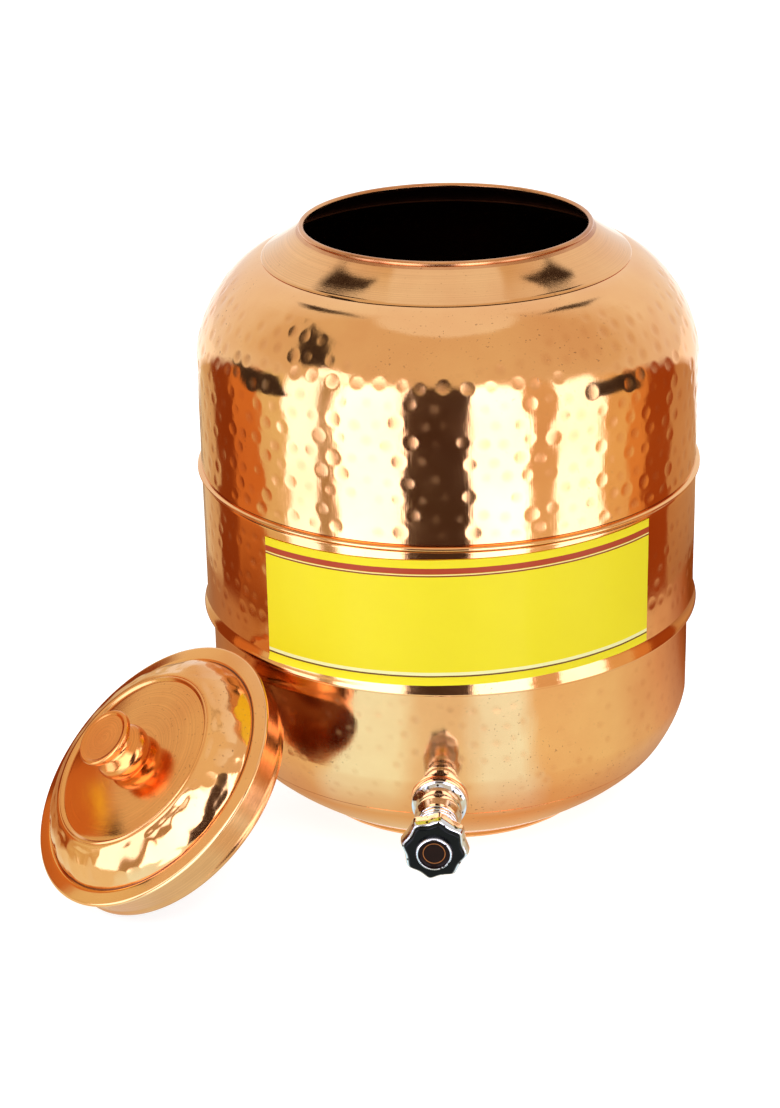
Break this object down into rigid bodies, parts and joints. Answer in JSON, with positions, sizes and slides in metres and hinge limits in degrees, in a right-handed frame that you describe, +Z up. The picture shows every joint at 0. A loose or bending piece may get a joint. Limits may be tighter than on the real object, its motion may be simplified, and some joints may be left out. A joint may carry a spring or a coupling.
{
  "type": "copper water dispenser pot",
  "caption": "Round hammered copper water pot with a wide open mouth, beaded wall seams, a screw-down tap near its base, and a stepped lid with a turned knob leaning on its side.",
  "frame": {"origin": "centre of the pot's flat underside, on the surface it stands on", "axes": "+Z up along the pot's axis; the tap points along -Y; +X to the right seen from the tap"},
  "size_m": [0.3664, 0.3517, 0.339],
  "materials": {
    "copper": null,
    "copper_turned": null,
    "chrome": "bright chrome plating",
    "brass": "machined brass",
    "rubber": "moulded black rubber",
    "black_plastic": "gloss black",
    "label_paper": "yellow printed sheet, words left out"
  },
  "bodies": {
    "pot": {"neck_collar": "copper_turned", "upper_shell": "copper", "middle_band": "copper", "lower_shell": "copper", "base_dish": "copper", "label": "label_paper", "tap_boss": "copper_turned", "tap_gasket": "rubber", "tap_wedge_washer": "rubber", "tap_back_nut": "brass", "tap_body": "chrome", "bonnet_seal": "rubber", "tap_bonnet": "chrome", "gland_packing": "rubber", "gland_nut": "chrome"},
    "valve": {"valve_jumper": "brass", "valve_washer": "rubber", "valve_washer_screw": "brass"},
    "handle": {"tap_spindle": "brass", "tap_knob": "chrome", "knob_face": "black_plastic", "knob_screw": "brass", "knob_cap_ring": "chrome", "knob_badge": "black_plastic"},
    "lid": {"lid_cover": "copper", "lid_skirt": "copper_turned", "lid_knob": "copper_turned", "lid_knob_screw": "brass", "lid_knob_washer": "copper_turned"}
  },
  "joints": [
    {"name": "valve_travel", "type": "slide", "parent": "pot", "child": "valve", "axis": [0, -1, 0], "range_m": [0, 0.003]},
    {"name": "knob_turn", "type": "hinge", "parent": "valve", "child": "handle", "pos_m": [0, -0.1933, 0.0525], "axis": [0, -1, 0], "range_deg": [0, 540]},
    {"name": "lid_lift", "type": "slide", "parent": "pot", "child": "lid", "axis": [-0.5523, -0.3824, 0.7408], "range_m": [0, 0.25]}
  ],
  "couplings": [
    {"joint": "valve_travel", "follows": "knob_turn", "m_per_rad": 0.0003183}
  ]
}
